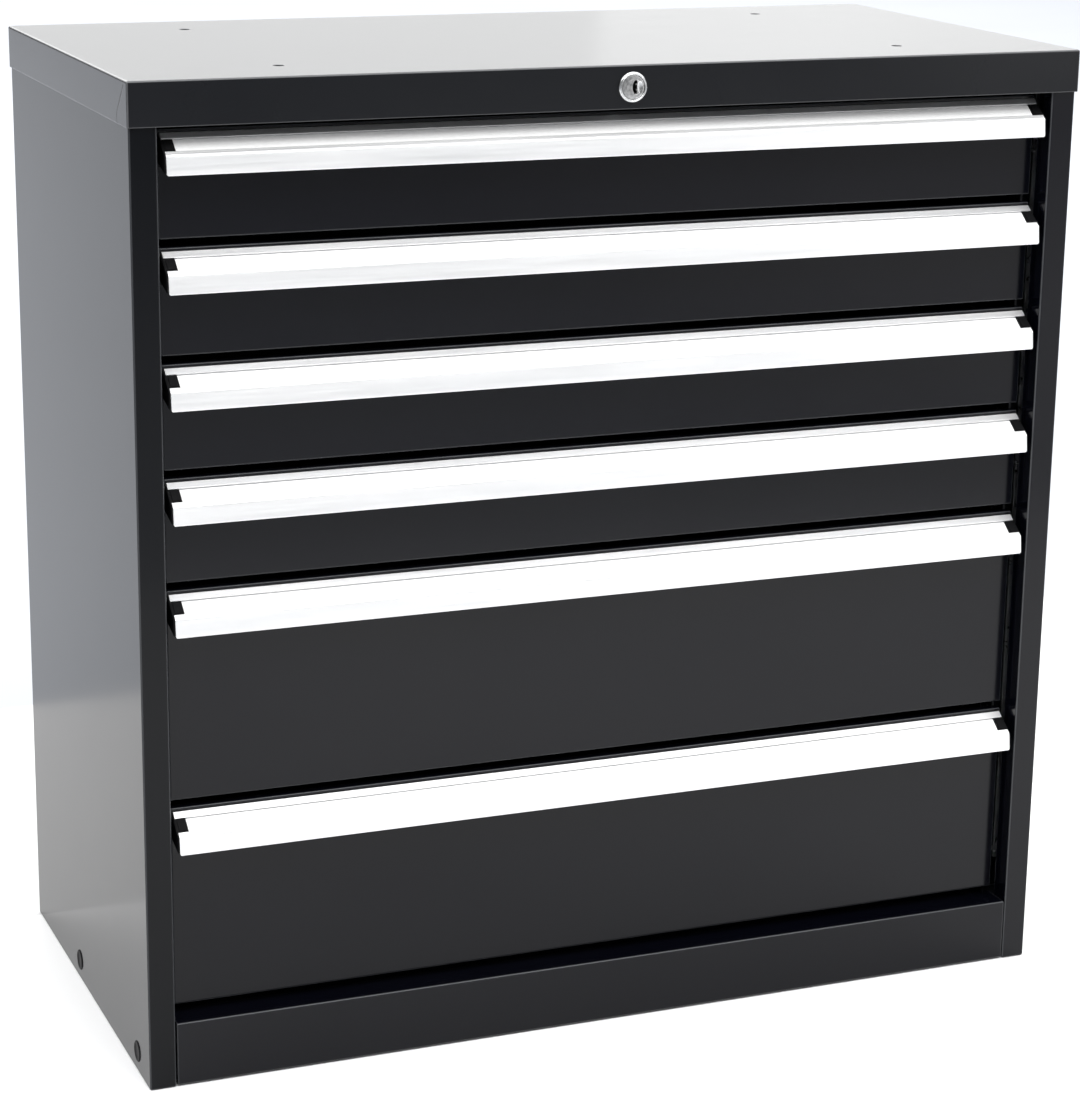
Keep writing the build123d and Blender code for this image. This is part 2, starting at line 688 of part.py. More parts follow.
# Lock: housing with its bezel on the skirt, hex nut behind it, and a plug that turns the cam.
def lock_housing():
    y0 = CAP_FRONT - BEZEL_T
    bezel = rod(0, y0, LOCK_Z, BEZEL_R, BEZEL_T, "y")
    bezel = fillet(bezel.edges().group_by(Axis.Y)[0], BEZEL_T * 0.8)
    body = bezel + rod(0, CAP_FRONT - 1, LOCK_Z, BARREL_R, BARREL_LEN + 1, "y")
    recess = PLUG_HEAD_INSET + PLUG_HEAD_T + RUN
    body -= rod(0, y0 - 1, LOCK_Z, PLUG_HEAD_R + RUN, 1 + recess, "y")
    body -= rod(0, y0 - 1, LOCK_Z, PLUG_R + RUN, BEZEL_T + BARREL_LEN + 2, "y")
    return body


def lock_plug():
    y0 = HEAD_Y
    shaft_end = CAM_Y - RUN
    head = rod(0, y0, LOCK_Z, PLUG_HEAD_R, PLUG_HEAD_T, "y")
    head = fillet(head.edges().group_by(Axis.Y)[0], 0.8)
    body = head + rod(0, y0 + 1, LOCK_Z, PLUG_R, shaft_end - y0 - 1, "y")
    t = TAIL_HALF
    body += block(-t, t, shaft_end - 1, CAM_Y + CAM_T + RUN, LOCK_Z - t, LOCK_Z + t)
    dish = Cone(3.0, 6.5, 1.0, align=(Align.CENTER, Align.CENTER, Align.MIN))
    body -= Pos(0, y0 + 1.0, LOCK_Z) * Rot(90, 0, 0) * dish
    half_w = KEYWAY_W / 2
    half_h = KEYWAY_H / 2
    end_y = y0 + KEYWAY_DEPTH
    body -= block(-half_w, half_w, y0 - 1, end_y, LOCK_Z - half_h, LOCK_Z + half_h)
    body -= block(0, KEYWAY_W, y0 - 1, end_y, LOCK_Z - half_h / 2, LOCK_Z - half_h / 4)
    return body


def lock_nut():
    skirt_back = CAP_FRONT + SHEET + SEAT
    hexagon = Plane.XZ * RegularPolygon(NUT_R, 6, major_radius=False)
    nut = Pos(0, skirt_back, LOCK_Z) * extrude(hexagon, NUT_T, dir=(0, 1, 0))
    return nut - rod(0, skirt_back - 1, LOCK_Z, BARREL_R + SEAT, NUT_T + 2, "y")


def lock_cam():
    hub = rod(0, CAM_Y, LOCK_Z, CAM_HUB_R, CAM_T, "y")
    tip = rod(CAM_PIN_AT, CAM_Y, LOCK_Z + CAM_PIN_AT, CAM_PIN_R + 1.6, CAM_T, "y")
    pin_length = CAM_T + LINK_GAP + LINK_T
    pin = rod(CAM_PIN_AT, CAM_Y + 1, LOCK_Z + CAM_PIN_AT, CAM_PIN_R, pin_length, "y")
    half = TAIL_HALF + SCREW_FIT
    hole = block(-half, half, CAM_Y - 1, CAM_Y + CAM_T + 1, LOCK_Z - half, LOCK_Z + half)
    return hub + tip + pin - hole


save("lock_housing", lock_housing())
save("lock_plug", lock_plug())
save("lock_nut", lock_nut())
save("lock_cam", lock_cam())


# Link: the cam's pin moves it to the left, and its slanted slot then lifts the lock bar.
def lock_link():
    z0 = LOCK_Z - LINK_UNDER
    z1 = LOCK_Z + LINK_OVER
    arm_x = BAR_PIN_X + LOCK_TRAVEL + BAR_PIN_R + 2.6
    arm_z = BAR_PIN_Z - BAR_PIN_R - 2.8
    neck_x = arm_x - ARM_W
    outline = [
        (-LINK_TAIL, z0, 3), (neck_x, z0, 3), (neck_x, arm_z, 2),
        (arm_x, arm_z, 2), (arm_x, z1, 3), (-LINK_TAIL, z1, 3),
    ]
    plate = along_y(outline, LINK_Y, LINK_Y + LINK_T)
    reach = CAM_PIN_R + 2 * RUN
    plate -= block(
        CAM_PIN_AT - reach, CAM_PIN_AT + reach, LINK_Y - 1, LINK_Y + LINK_T + 1,
        LOCK_Z + CAM_PIN_AT - reach, LOCK_Z + CAM_R + reach,
    )
    r = BAR_PIN_R + RUN
    slot = rod(BAR_PIN_X, LINK_Y - 1, BAR_PIN_Z, r, LINK_T + 2, "y")
    slot += rod(BAR_PIN_X + LOCK_TRAVEL, LINK_Y - 1, BAR_PIN_Z + LOCK_TRAVEL, r, LINK_T + 2, "y")
    d = r / math.sqrt(2)
    ramp = [
        (BAR_PIN_X - d, BAR_PIN_Z + d, 0), (BAR_PIN_X + d, BAR_PIN_Z - d, 0),
        (BAR_PIN_X + LOCK_TRAVEL + d, BAR_PIN_Z + LOCK_TRAVEL - d, 0),
        (BAR_PIN_X + LOCK_TRAVEL - d, BAR_PIN_Z + LOCK_TRAVEL + d, 0),
    ]
    slot += along_y(ramp, LINK_Y - 1, LINK_Y + LINK_T + 1)
    return plate - slot


# Lock bar: a finger for each drawer reaches in front of that drawer's lug when the bar is up.
def lock_bar():
    foot = PAN_TOP + BAR_END_GAP
    bar = block(BAR_X, BAR_X + BAR_W, BAR_Y, BAR_Y + BAR_T, foot, LOCK_Z)
    line = MODULE_TOP
    for module in MODULES:
        z0 = line - LUG_DROP + 0.5 - LOCK_TRAVEL
        finger_x = TRAY_HALF_W + FINGER_GAP
        bar += block(finger_x, BAR_X + 1, BAR_Y, BAR_Y + BAR_T, z0, z0 + FINGER_H)
        line -= module
    return bar + rod(BAR_PIN_X, LINK_Y - 0.8, BAR_PIN_Z, BAR_PIN_R, BAR_Y - LINK_Y + 1.8, "y")


save("lock_link", lock_link())
save("lock_bar", lock_bar())


# Guides: three angles on the right wall hold the bar, two hooks under the cap hold the link.
def bar_guide(z):
    wall = BODY_HALF_W - SHEET - SEAT
    t = GUIDE_SHEET
    shelf = block(BAR_X - t, wall, BAR_Y - 4, BAR_Y + BAR_T + 6, z, z + t)
    slot = block(BAR_X - RUN, BAR_X + BAR_W + RUN, BAR_Y - RUN, BAR_Y + BAR_T + RUN, z - 1, z + 3)
    return shelf - slot + block(wall - t, wall, BAR_Y - 4, BAR_Y + BAR_T + 6, z, z + GUIDE_WALL_H)


def link_guide(x):
    under_cap = HEIGHT - SHEET - SEAT
    back = LINK_Y + LINK_T + RUN
    front = LINK_Y - RUN
    low = LOCK_Z - LINK_UNDER - RUN
    t = GUIDE_SHEET
    x0 = x - GUIDE_W / 2
    x1 = x + GUIDE_W / 2
    hook = block(x0, x1, back, back + t, low - t, under_cap)
    hook += block(x0, x1, front - t, back + t, low - t, low)
    hook += block(x0, x1, front - t, front, low - t, low + 5)
    return hook + block(x0, x1, back, back + 14, under_cap - t, under_cap)


guided = [low_lines[0], low_lines[3], low_lines[-1]]
guides = [bar_guide(line + GUIDE_RISE) for line in guided]
guides += [link_guide(BAR_PIN_X - x) for x in LINK_GUIDES_AT]
save("lock_guides", *guides)
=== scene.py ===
import math

import bmesh
import bpy
from mathutils import Matrix, Vector


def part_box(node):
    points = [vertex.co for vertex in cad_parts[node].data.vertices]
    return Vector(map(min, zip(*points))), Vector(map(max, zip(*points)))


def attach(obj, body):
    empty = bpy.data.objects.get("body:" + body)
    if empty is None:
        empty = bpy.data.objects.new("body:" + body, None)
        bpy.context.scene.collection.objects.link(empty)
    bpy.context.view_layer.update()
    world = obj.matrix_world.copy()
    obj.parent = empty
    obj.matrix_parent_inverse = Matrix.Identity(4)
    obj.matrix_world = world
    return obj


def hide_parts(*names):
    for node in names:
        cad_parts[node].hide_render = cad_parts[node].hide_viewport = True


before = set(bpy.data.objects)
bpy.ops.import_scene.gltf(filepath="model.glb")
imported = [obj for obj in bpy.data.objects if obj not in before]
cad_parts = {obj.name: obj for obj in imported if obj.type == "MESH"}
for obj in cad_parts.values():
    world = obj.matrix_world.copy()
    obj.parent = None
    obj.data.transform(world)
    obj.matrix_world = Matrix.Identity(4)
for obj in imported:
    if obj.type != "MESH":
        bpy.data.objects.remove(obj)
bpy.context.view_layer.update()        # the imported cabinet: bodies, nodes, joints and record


# Studio
# A pale floor with white paper under the cabinet, whose part behind the cabinet is a darker copy as painted
# shade, and a grey mat and a white board far in front.
# Three soft boxes light it from behind, one from high in front and one from the front right. The
# camera looks down on the cabinet's front left corner.

def paint_shop(name):
    """A new node material: returns it with its nodes, its links and its shader."""
    made = bpy.data.materials.new(name)
    made.use_nodes = True
    tree = made.node_tree
    return made, tree.nodes, tree.links, tree.nodes["Principled BSDF"]


def grain(nodes, links, place, scale, detail=2.0, stretch=(1.0, 1.0, 1.0)):
    """Noise in object space, stretched along the axes. Returns its height socket."""
    run = nodes.new("ShaderNodeMapping")
    run.inputs["Location"].default_value = place
    run.inputs["Scale"].default_value = stretch
    where = nodes.new("ShaderNodeTexCoord")
    links.new(where.outputs["Object"], run.inputs["Vector"])
    noise = nodes.new("ShaderNodeTexNoise")
    noise.inputs["Scale"].default_value = scale
    noise.inputs["Detail"].default_value = detail
    links.new(run.outputs["Vector"], noise.inputs["Vector"])
    return noise.outputs["Fac"]


def spread(nodes, links, height, low, high):
    """A noise height turned into numbers from low to high."""
    band = nodes.new("ShaderNodeMapRange")
    band.inputs["From Min"].default_value = 0.3
    band.inputs["From Max"].default_value = 0.7
    band.inputs["To Min"].default_value = low
    band.inputs["To Max"].default_value = high
    links.new(height, band.inputs["Value"])
    return band.outputs["Result"]


def tones(nodes, links, height, dark, light):
    """A noise height turned into a colour between two tones."""
    ramp = nodes.new("ShaderNodeValToRGB")
    ramp.color_ramp.elements[0].position = 0.35
    ramp.color_ramp.elements[0].color = (*dark, 1.0)
    ramp.color_ramp.elements[1].position = 0.65
    ramp.color_ramp.elements[1].color = (*light, 1.0)
    links.new(height, ramp.inputs["Fac"])
    return ramp.outputs["Color"]


def relief(nodes, links, height, strength, depth, under=None):
    """A bump of that height in metres, laid over the normal that is under it."""
    bump = nodes.new("ShaderNodeBump")
    bump.inputs["Strength"].default_value = strength
    bump.inputs["Distance"].default_value = depth
    links.new(height, bump.inputs["Height"])
    if under is not None:
        links.new(under, bump.inputs["Normal"])
    return bump.outputs["Normal"]


def soft_edge(nodes, radius, samples=6):
    """Normal of an edge rounded to that radius."""
    edge = nodes.new("ShaderNodeBevel")
    edge.samples = samples
    edge.inputs["Radius"].default_value = radius
    return edge.outputs["Normal"]


def ground(name, x0, x1, y0, y1, z, dark, light, fade=0.0):
    """Flat sheet on the ground between two corners. Its left edge thins out over the width fade."""
    form = bmesh.new()
    bmesh.ops.create_grid(form, x_segments=8, y_segments=8, size=0.5)
    bmesh.ops.transform(form, matrix=Matrix.Translation(((x0 + x1) / 2, (y0 + y1) / 2, z))
                        @ Matrix.Diagonal((x1 - x0, y1 - y0, 1.0, 1.0)), verts=form.verts)
    mesh = bpy.data.meshes.new(name)
    form.to_mesh(mesh)
    form.free()
    sheet = bpy.data.objects.new(name, mesh)
    bpy.context.scene.collection.objects.link(sheet)
    paint, nodes, links, shader = paint_shop(name + "_paint")
    shader.inputs["Roughness"].default_value = 0.9
    shader.inputs["Specular IOR Level"].default_value = 0.1
    links.new(tones(nodes, links, grain(nodes, links, (0, 0, 0), 1.5), dark, light),
              shader.inputs["Base Color"])
    if fade:
        where = nodes.new("ShaderNodeTexCoord")
        split = nodes.new("ShaderNodeSeparateXYZ")
        links.new(where.outputs["Object"], split.inputs["Vector"])
        edge_blend = nodes.new("ShaderNodeMapRange")
        edge_blend.interpolation_type = "SMOOTHSTEP"
        edge_blend.inputs["From Min"].default_value = x0
        edge_blend.inputs["From Max"].default_value = x0 + fade
        links.new(split.outputs["X"], edge_blend.inputs["Value"])
        links.new(edge_blend.outputs["Result"], shader.inputs["Alpha"])
    mesh.materials.append(paint)


FLOOR_HALF = 20.0
MAT_EDGE_Y = -1.7
PAPER_HALF_W = 2.6
PAPER_FRONT_Y = -1.75
PAPER_SEAM_Y = 0.215
PAPER_BACK_Y = 0.88
ground("studio_floor", -FLOOR_HALF, FLOOR_HALF, -FLOOR_HALF, FLOOR_HALF, -0.003,
       (0.475, 0.490, 0.522), (0.485, 0.500, 0.532))
ground("grey_mat", -FLOOR_HALF, FLOOR_HALF, -FLOOR_HALF, MAT_EDGE_Y, -0.0024,
       (0.51, 0.52, 0.54), (0.52, 0.53, 0.55))
ground("white_board", 0.7, FLOOR_HALF, -FLOOR_HALF, MAT_EDGE_Y, -0.0018,
       (0.75, 0.75, 0.76), (0.765, 0.765, 0.775), fade=1.6)
# The paper behind the cabinet is painted darker than the sheet in front: painted shade on the floor, which
# the side panel reflects.
ground("shaded_paper_behind", -PAPER_HALF_W, PAPER_HALF_W, PAPER_SEAM_Y - 0.015, PAPER_BACK_Y, -0.0016,
       (0.70, 0.70, 0.705), (0.715, 0.715, 0.715))
ground("paper_sheet", -PAPER_HALF_W, PAPER_HALF_W, PAPER_FRONT_Y, PAPER_SEAM_Y, -0.0012,
       (0.875, 0.875, 0.88), (0.89, 0.89, 0.89))

room = bpy.data.worlds.new("white_room")
room.use_nodes = True
room.node_tree.nodes["Background"].inputs["Color"].default_value = (0.97, 0.985, 1.0, 1.0)
room.node_tree.nodes["Background"].inputs["Strength"].default_value = 0.3
bpy.context.scene.world = room
bpy.context.scene.view_settings.view_transform = "Standard"


def soft_box(name, place, aim, width, height, brightness):
    """Rectangular soft light from place towards aim, whose energy grows with its area."""
    lamp = bpy.data.lights.new(name, "AREA")
    lamp.shape = "RECTANGLE"
    lamp.size = width
    lamp.size_y = height
    lamp.energy = brightness * width * height * math.pi
    holder = bpy.data.objects.new(name, lamp)
    bpy.context.scene.collection.objects.link(holder)
    holder.location = place
    holder.rotation_euler = (Vector(aim) - Vector(place)).to_track_quat("-Z", "Y").to_euler()
    holder.visible_camera = False


soft_box("soft_box_over", (2.0, 6.5, 4.2), (2.0, 6.5, 0.0), 14.0, 20.5, 2.2)
soft_box("soft_box_behind", (3.4, 5.6, 2.1), (0.6, 0.0, 0.9), 9.0, 2.4, 1.0)
soft_box("soft_box_behind_right", (6.1, 5.6, 2.1), (1.0, 0.0, 0.9), 7.2, 2.4, 0.2)
soft_box("soft_box_front", (0.0, -2.9, 4.1), (0.0, -0.2, 0.8), 5.6, 2.4, 3.3)
soft_box("soft_box_right", (4.2, -4.0, 1.7), (0.0, 0.0, 0.6), 3.6, 3.0, 1.0)

CAMERA_PLACE = (-1.06119, -2.65563, 1.20375)
YAW = math.radians(21.969)
PITCH = math.radians(15.666)
ROLL = math.radians(0.794)
FOCAL_PIXELS = 3034.5
PHOTO_PIXELS = 1102
ahead = Vector((math.sin(YAW) * math.cos(PITCH), math.cos(YAW) * math.cos(PITCH), -math.sin(PITCH)))
level = Vector((math.cos(YAW), -math.sin(YAW), 0.0))
upward = level.cross(ahead)
across = math.cos(ROLL) * level + math.sin(ROLL) * upward
upright = math.cos(ROLL) * upward - math.sin(ROLL) * level
eye = bpy.data.cameras.new("camera")
eye.sensor_width = 36.0
eye.lens = FOCAL_PIXELS * eye.sensor_width / PHOTO_PIXELS
camera = bpy.data.objects.new("camera", eye)
bpy.context.scene.collection.objects.link(camera)
camera.matrix_world = (Matrix.Translation(CAMERA_PLACE)
                       @ Matrix((across, upright, -ahead)).transposed().to_4x4())
bpy.context.scene.camera = camera


# Sheet metal body: side panels, cap, plinth, base pan, back panel and slotted uprights
# Folded mild steel sheet, spot-welded at the flanges and powder-coated near-black in the oven.
# The coat has a fine orange peel and shines like satin. Every fold is painted paler, a painted
# highlight for the light the rounded folds catch. The coat is set up in copies whose tones and
# fold highlights are tuned to how the light falls on each part; the left side panel's copy is
# darker, painted shade.

def dress(node, finish):
    """The finish goes on every slot of that CAD node."""
    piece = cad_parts[node]
    if not piece.material_slots:
        piece.data.materials.append(finish)
    for place in piece.material_slots:
        place.material = finish


FACES_AXIS = 0.98
FACES_NONE = 0.82


def fold_highlight_share(nodes, links, radius):
    """1 on folds and edges, where the sheet faces no axis of the cabinet, and 0 on flat sheet. This is
    where the painted fold highlight goes.
    """
    turn = nodes.new("ShaderNodeVectorTransform")
    turn.vector_type = "NORMAL"
    turn.convert_from = "WORLD"
    turn.convert_to = "OBJECT"
    links.new(soft_edge(nodes, radius, 8), turn.inputs["Vector"])
    size = nodes.new("ShaderNodeVectorMath")
    size.operation = "ABSOLUTE"
    links.new(turn.outputs["Vector"], size.inputs[0])
    split = nodes.new("ShaderNodeSeparateXYZ")
    links.new(size.outputs["Vector"], split.inputs["Vector"])
    widest = split.outputs["X"]
    for axis in ("Y", "Z"):
        more = nodes.new("ShaderNodeMath")
        more.operation = "MAXIMUM"
        links.new(widest, more.inputs[0])
        links.new(split.outputs[axis], more.inputs[1])
        widest = more.outputs["Value"]
    share = nodes.new("ShaderNodeMapRange")
    share.inputs["From Min"].default_value = FACES_AXIS
    share.inputs["From Max"].default_value = FACES_NONE
    links.new(widest, share.inputs["Value"])
    return share.outputs["Result"]


def powder_coat(name, dark, light, fold_highlight, gloss, shine, place, edge=0.0007):
    """Satin powder coat: soft peel, finer grit on it, cloudy gloss, and a paler colour on the folds as a
    painted highlight.
    """
    coat, nodes, links, shader = paint_shop(name)
    shader.inputs["IOR"].default_value = shine
    # A paler colour is mixed in on the folds: a painted highlight.
    edge_blend = nodes.new("ShaderNodeMix")
    edge_blend.data_type = "RGBA"
    links.new(fold_highlight_share(nodes, links, 0.0018), edge_blend.inputs[0])
    links.new(tones(nodes, links, grain(nodes, links, place, 7.0, 3.0), dark, light), edge_blend.inputs[6])
    edge_blend.inputs[7].default_value = (*fold_highlight, 1.0)
    links.new(edge_blend.outputs[2], shader.inputs["Base Color"])
    links.new(spread(nodes, links, grain(nodes, links, place, 22.0, 4.0), gloss - 0.008, gloss + 0.01),
              shader.inputs["Roughness"])
    peel = relief(nodes, links, grain(nodes, links, place, 420.0, 1.0), 0.13, 0.0001,
                  soft_edge(nodes, edge))
    grit = relief(nodes, links, grain(nodes, links, place, 1900.0, 1.0), 0.1, 0.00005, peel)
    links.new(grit, shader.inputs["Normal"])
    return coat


# Copies of one coat tuned to how the light falls: the left side panel's copy is darker, painted shade, and
# each copy's fold colour is its painted highlight.
shaded_side_coat = powder_coat("shaded_side_coat", (0.0016, 0.0020, 0.0030), (0.0022, 0.0026, 0.0036),
                        (0.040, 0.042, 0.046), 0.15, 1.27, (3.1, 0.7, 1.9))
body_coat = powder_coat("body_coat", (0.0058, 0.0064, 0.0080), (0.0070, 0.0076, 0.0092),
                        (0.100, 0.102, 0.107), 0.15, 1.34, (0.8, 2.6, 1.1), edge=0.0014)
front_coat = powder_coat("front_coat", (0.0012, 0.0014, 0.0032), (0.0020, 0.0022, 0.0040),
                         (0.052, 0.054, 0.058), 0.15, 1.315, (5.3, 1.1, 2.4))
dress("side_panel_left", shaded_side_coat)
for node in ("top_cap", "base_pan", "back_panel", "slotted_uprights"):
    dress(node, body_coat)
for node in ("side_panel_right", "plinth_panel"):
    dress(node, front_coat)


# Slides
# Roll-formed strip steel, bright zinc-plated. The members of each slide nest in one another and
# the outer ones hook into the slots of the uprights.

def zinc_plate(name, place):
    """Bright zinc: faint milky patches and fine rolling lines along the strip."""
    plate, nodes, links, shader = paint_shop(name)
    shader.inputs["Metallic"].default_value = 1.0
    links.new(tones(nodes, links, grain(nodes, links, place, 60.0, 4.0),
                    (0.50, 0.515, 0.53), (0.64, 0.65, 0.66)), shader.inputs["Base Color"])
    links.new(spread(nodes, links, grain(nodes, links, place, 130.0, 3.0), 0.26, 0.42),
              shader.inputs["Roughness"])
    lines = relief(nodes, links, grain(nodes, links, place, 900.0, 2.0, (1.0, 0.02, 1.0)), 0.12, 0.00005,
                   soft_edge(nodes, 0.0003, 4))
    links.new(lines, shader.inputs["Normal"])
    return plate


slide_zinc = zinc_plate("slide_zinc", (0.4, 2.2, 5.0))
DRAWERS = range(1, 7)
dress("slide_outer_members", slide_zinc)
for number in DRAWERS:
    dress("slide_inner_%d" % number, slide_zinc)
    dress("slide_middle_%d" % number, slide_zinc)


# Drawers
# Each drawer is a folded steel tray with hemmed walls and a separate folded front. Both are
# powder-coated, the front as the plinth is and the tray with a duller coat.

tray_coat = powder_coat("tray_coat", (0.012, 0.0125, 0.014), (0.0145, 0.015, 0.0165),
                        (0.05, 0.052, 0.056), 0.34, 1.3, (1.3, 4.7, 0.2))
for number in DRAWERS:
    dress("drawer_tray_%d" % number, tray_coat)
    dress("drawer_front_%d" % number, front_coat)


# Handles
# Extruded aluminium, anodised pale silver, as long as the drawer front. The slope carries a
# channel for a white label strip behind a clear film, closed by a moulded end at each side.

handle_alu, nodes, links, shader = paint_shop("handle_alu")
shader.inputs["Metallic"].default_value = 0.8
clouds = grain(nodes, links, (0.1, 0.9, 3.3), 45.0, 3.0, (0.1, 1.0, 1.0))
links.new(tones(nodes, links, clouds, (0.90, 0.905, 0.91), (0.95, 0.95, 0.952)),
          shader.inputs["Base Color"])
streaks = grain(nodes, links, (0.5, 0.2, 0.3), 500.0, 3.0, (0.02, 1.0, 1.0))
links.new(spread(nodes, links, streaks, 0.36, 0.46), shader.inputs["Roughness"])
drawn = grain(nodes, links, (0.5, 0.2, 0.3), 1400.0, 2.0, (0.01, 1.0, 1.0))
links.new(relief(nodes, links, drawn, 0.1, 0.00005, soft_edge(nodes, 0.0004)), shader.inputs["Normal"])

label_card, nodes, links, shader = paint_shop("label_card")
shader.inputs["Roughness"].default_value = 0.4
shader.inputs["Coat Weight"].default_value = 0.6
shader.inputs["Coat Roughness"].default_value = 0.12
links.new(tones(nodes, links, grain(nodes, links, (0.4, 0.8, 1.2), 300.0, 2.0),
                (0.89, 0.89, 0.885), (0.92, 0.92, 0.918)), shader.inputs["Base Color"])


def moulded(name, dark, light, rough, shine):
    """Moulded plastic with fine pores and softly rounded edges."""
    plastic, nodes, links, shader = paint_shop(name)
    shader.inputs["IOR"].default_value = shine
    links.new(tones(nodes, links, grain(nodes, links, (2.4, 0.8, 1.2), 900.0, 2.0), dark, light),
              shader.inputs["Base Color"])
    links.new(spread(nodes, links, grain(nodes, links, (1.4, 0.8, 1.2), 700.0, 2.0), rough, rough + 0.1),
              shader.inputs["Roughness"])
    pores = relief(nodes, links, grain(nodes, links, (1.4, 0.8, 1.2), 3000.0, 1.0), 0.15, 0.00004,
                   soft_edge(nodes, 0.0003, 4))
    links.new(pores, shader.inputs["Normal"])
    return plastic


cap_plastic = moulded("cap_plastic", (0.0025, 0.0025, 0.003), (0.0045, 0.0045, 0.005), 0.5, 1.2)
for number in DRAWERS:
    dress("handle_%d" % number, handle_alu)
    dress("label_strip_%d" % number, label_card)
    dress("label_end_caps_%d" % number, cap_plastic)


# Side plugs
# Moulded covers in the low holes of the side panels. A shallow dish sits inside a raised rim,
# and a hollow stem behind the flange snaps into the hole.

def turned(name, outline, centre, along, segments=64):
    """Closed piece spun from (radius, distance) points round the axis through centre.

    The distances run the way along points. The outline starts and ends on the axis, or closes
    on itself where it starts away from it.
    """
    along = Vector(along)
    side = along.orthogonal().normalized()
    other = along.cross(side)
    form = bmesh.new()
    rings = []
    for radius, distance in outline:
        middle = Vector(centre) + along * distance
        if radius == 0:
            rings.append([form.verts.new(middle)])
            continue
        ring = []
        for step in range(segments):
            turn = 2 * math.pi * step / segments
            ring.append(form.verts.new(middle + (side * math.cos(turn) + other * math.sin(turn)) * radius))
        rings.append(ring)
    pairs = list(zip(rings, rings[1:]))
    if outline[0][0] > 0:
        pairs.append((rings[-1], rings[0]))
    for near, far in pairs:
        for step in range(segments):
            after = (step + 1) % segments
            corners = [near[step % len(near)], near[after % len(near)], far[after % len(far)],
                       far[step % len(far)]]
            face = list(dict.fromkeys(corners))
            if len(face) > 2:
                form.faces.new(face)
    bmesh.ops.recalc_face_normals(form, faces=form.faces)
    mesh = bpy.data.meshes.new(name)
    form.to_mesh(mesh)
    form.free()
    mesh.shade_smooth()
    mesh.set_sharp_from_angle(angle=math.radians(32))
    piece = bpy.data.objects.new(name, mesh)
    bpy.context.scene.collection.objects.link(piece)
    return piece


def joined(name, pieces):
    """One object made of several, which are used up."""
    form = bmesh.new()
    for piece in pieces:
        form.from_mesh(piece.data)
        bpy.data.objects.remove(piece)
    mesh = bpy.data.meshes.new(name)
    form.to_mesh(mesh)
    form.free()
    whole = bpy.data.objects.new(name, mesh)
    bpy.context.scene.collection.objects.link(whole)
    return whole


PLUG_FLANGE_R = 0.010
PLUG_FLANGE_T = 0.0009
PLUG_STEM_R = 0.008
PLUG_STEM_LEN = 0.005
PLUG_WALL = 0.0016
PLUG_DISH_R = 0.0070
PLUG_DISH_FLOOR = 0.0003
PLUG_SHOULDER = 0.0006
PLUG_OUTLINE = [
    (0.0, 0.0), (PLUG_STEM_R - PLUG_WALL, 0.0), (PLUG_STEM_R - PLUG_WALL + 0.0001, -PLUG_STEM_LEN),
    (PLUG_STEM_R - 0.0002, -PLUG_STEM_LEN), (PLUG_STEM_R, -PLUG_STEM_LEN + 0.0004), (PLUG_STEM_R, 0.0),
    (PLUG_FLANGE_R, 0.0), (PLUG_FLANGE_R, 0.0002), (PLUG_FLANGE_R - 0.0003, PLUG_SHOULDER),
    (PLUG_FLANGE_R - 0.0009, PLUG_FLANGE_T), (PLUG_DISH_R + 0.0012, PLUG_FLANGE_T),
    (PLUG_DISH_R + 0.0006, PLUG_SHOULDER), (PLUG_DISH_R, PLUG_DISH_FLOOR), (0.0, PLUG_DISH_FLOOR),
]
plug_plastic = moulded("plug_plastic", (0.009, 0.009, 0.010), (0.013, 0.013, 0.014), 0.45, 1.18)
low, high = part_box("side_plugs")
plugs = []
for hand in (-1, 1):
    for y in (low.y + PLUG_FLANGE_R, high.y - PLUG_FLANGE_R):
        seat = Vector((hand * (high.x - PLUG_FLANGE_T), y, (low.z + high.z) / 2))
        plugs.append(turned("plug", PLUG_OUTLINE, seat, (hand, 0, 0), 48))
side_plugs = joined("hole_plugs", plugs)
side_plugs.data.materials.append(plug_plastic)
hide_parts("side_plugs")
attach(side_plugs, "cabinet")


# Lock
# Die-cast zinc housing with a chrome-plated bezel, screwed tight from behind by its nut. The
# plug's face has a curved keyway, a ring groove and a small polished dish. The plug turns a cam
# that shifts the link to the left, and the link lifts the lock bar.

def turned_metal(name, dark, light, rough, centre, ring_step, ring_depth):
    """Metal with faint lathe rings round the lock's axis and a mottled, handled shine.

    The rings lie 2 pi times ring_step apart.
    """
    metal, nodes, links, shader = paint_shop(name)
    shader.inputs["Metallic"].default_value = 1.0
    links.new(tones(nodes, links, grain(nodes, links, (0.4, 0.2, 0.8), 420.0, 4.0), dark, light),
              shader.inputs["Base Color"])
    links.new(spread(nodes, links, grain(nodes, links, (0.9, 0.2, 0.8), 700.0, 4.0), rough, rough + 0.12),
              shader.inputs["Roughness"])
    where = nodes.new("ShaderNodeTexCoord")
    shift = nodes.new("ShaderNodeMapping")
    shift.inputs["Location"].default_value = -Vector(centre)
    links.new(where.outputs["Object"], shift.inputs["Vector"])
    rings = nodes.new("ShaderNodeTexWave")
    rings.wave_type = "RINGS"
    rings.rings_direction = "Y"
    rings.inputs["Scale"].default_value = 1 / (ring_step * 20)
    rings.inputs["Distortion"].default_value = 0.6
    links.new(shift.outputs["Vector"], rings.inputs["Vector"])
    cut = relief(nodes, links, rings.outputs["Fac"], 0.5, ring_depth, soft_edge(nodes, 0.0003, 4))
    links.new(cut, shader.inputs["Normal"])
    return metal


low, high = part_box("lock_housing")
LOCK_AXIS = Vector((0.0, low.y, (low.z + high.z) / 2))
bezel_chrome = turned_metal("bezel_chrome", (0.58, 0.585, 0.59), (0.72, 0.725, 0.73), 0.14,
                            LOCK_AXIS, 0.0004, 0.000008)
plug_nickel = turned_metal("plug_nickel", (0.26, 0.26, 0.262), (0.46, 0.46, 0.46), 0.30,
                           LOCK_AXIS, 0.0005, 0.00002)

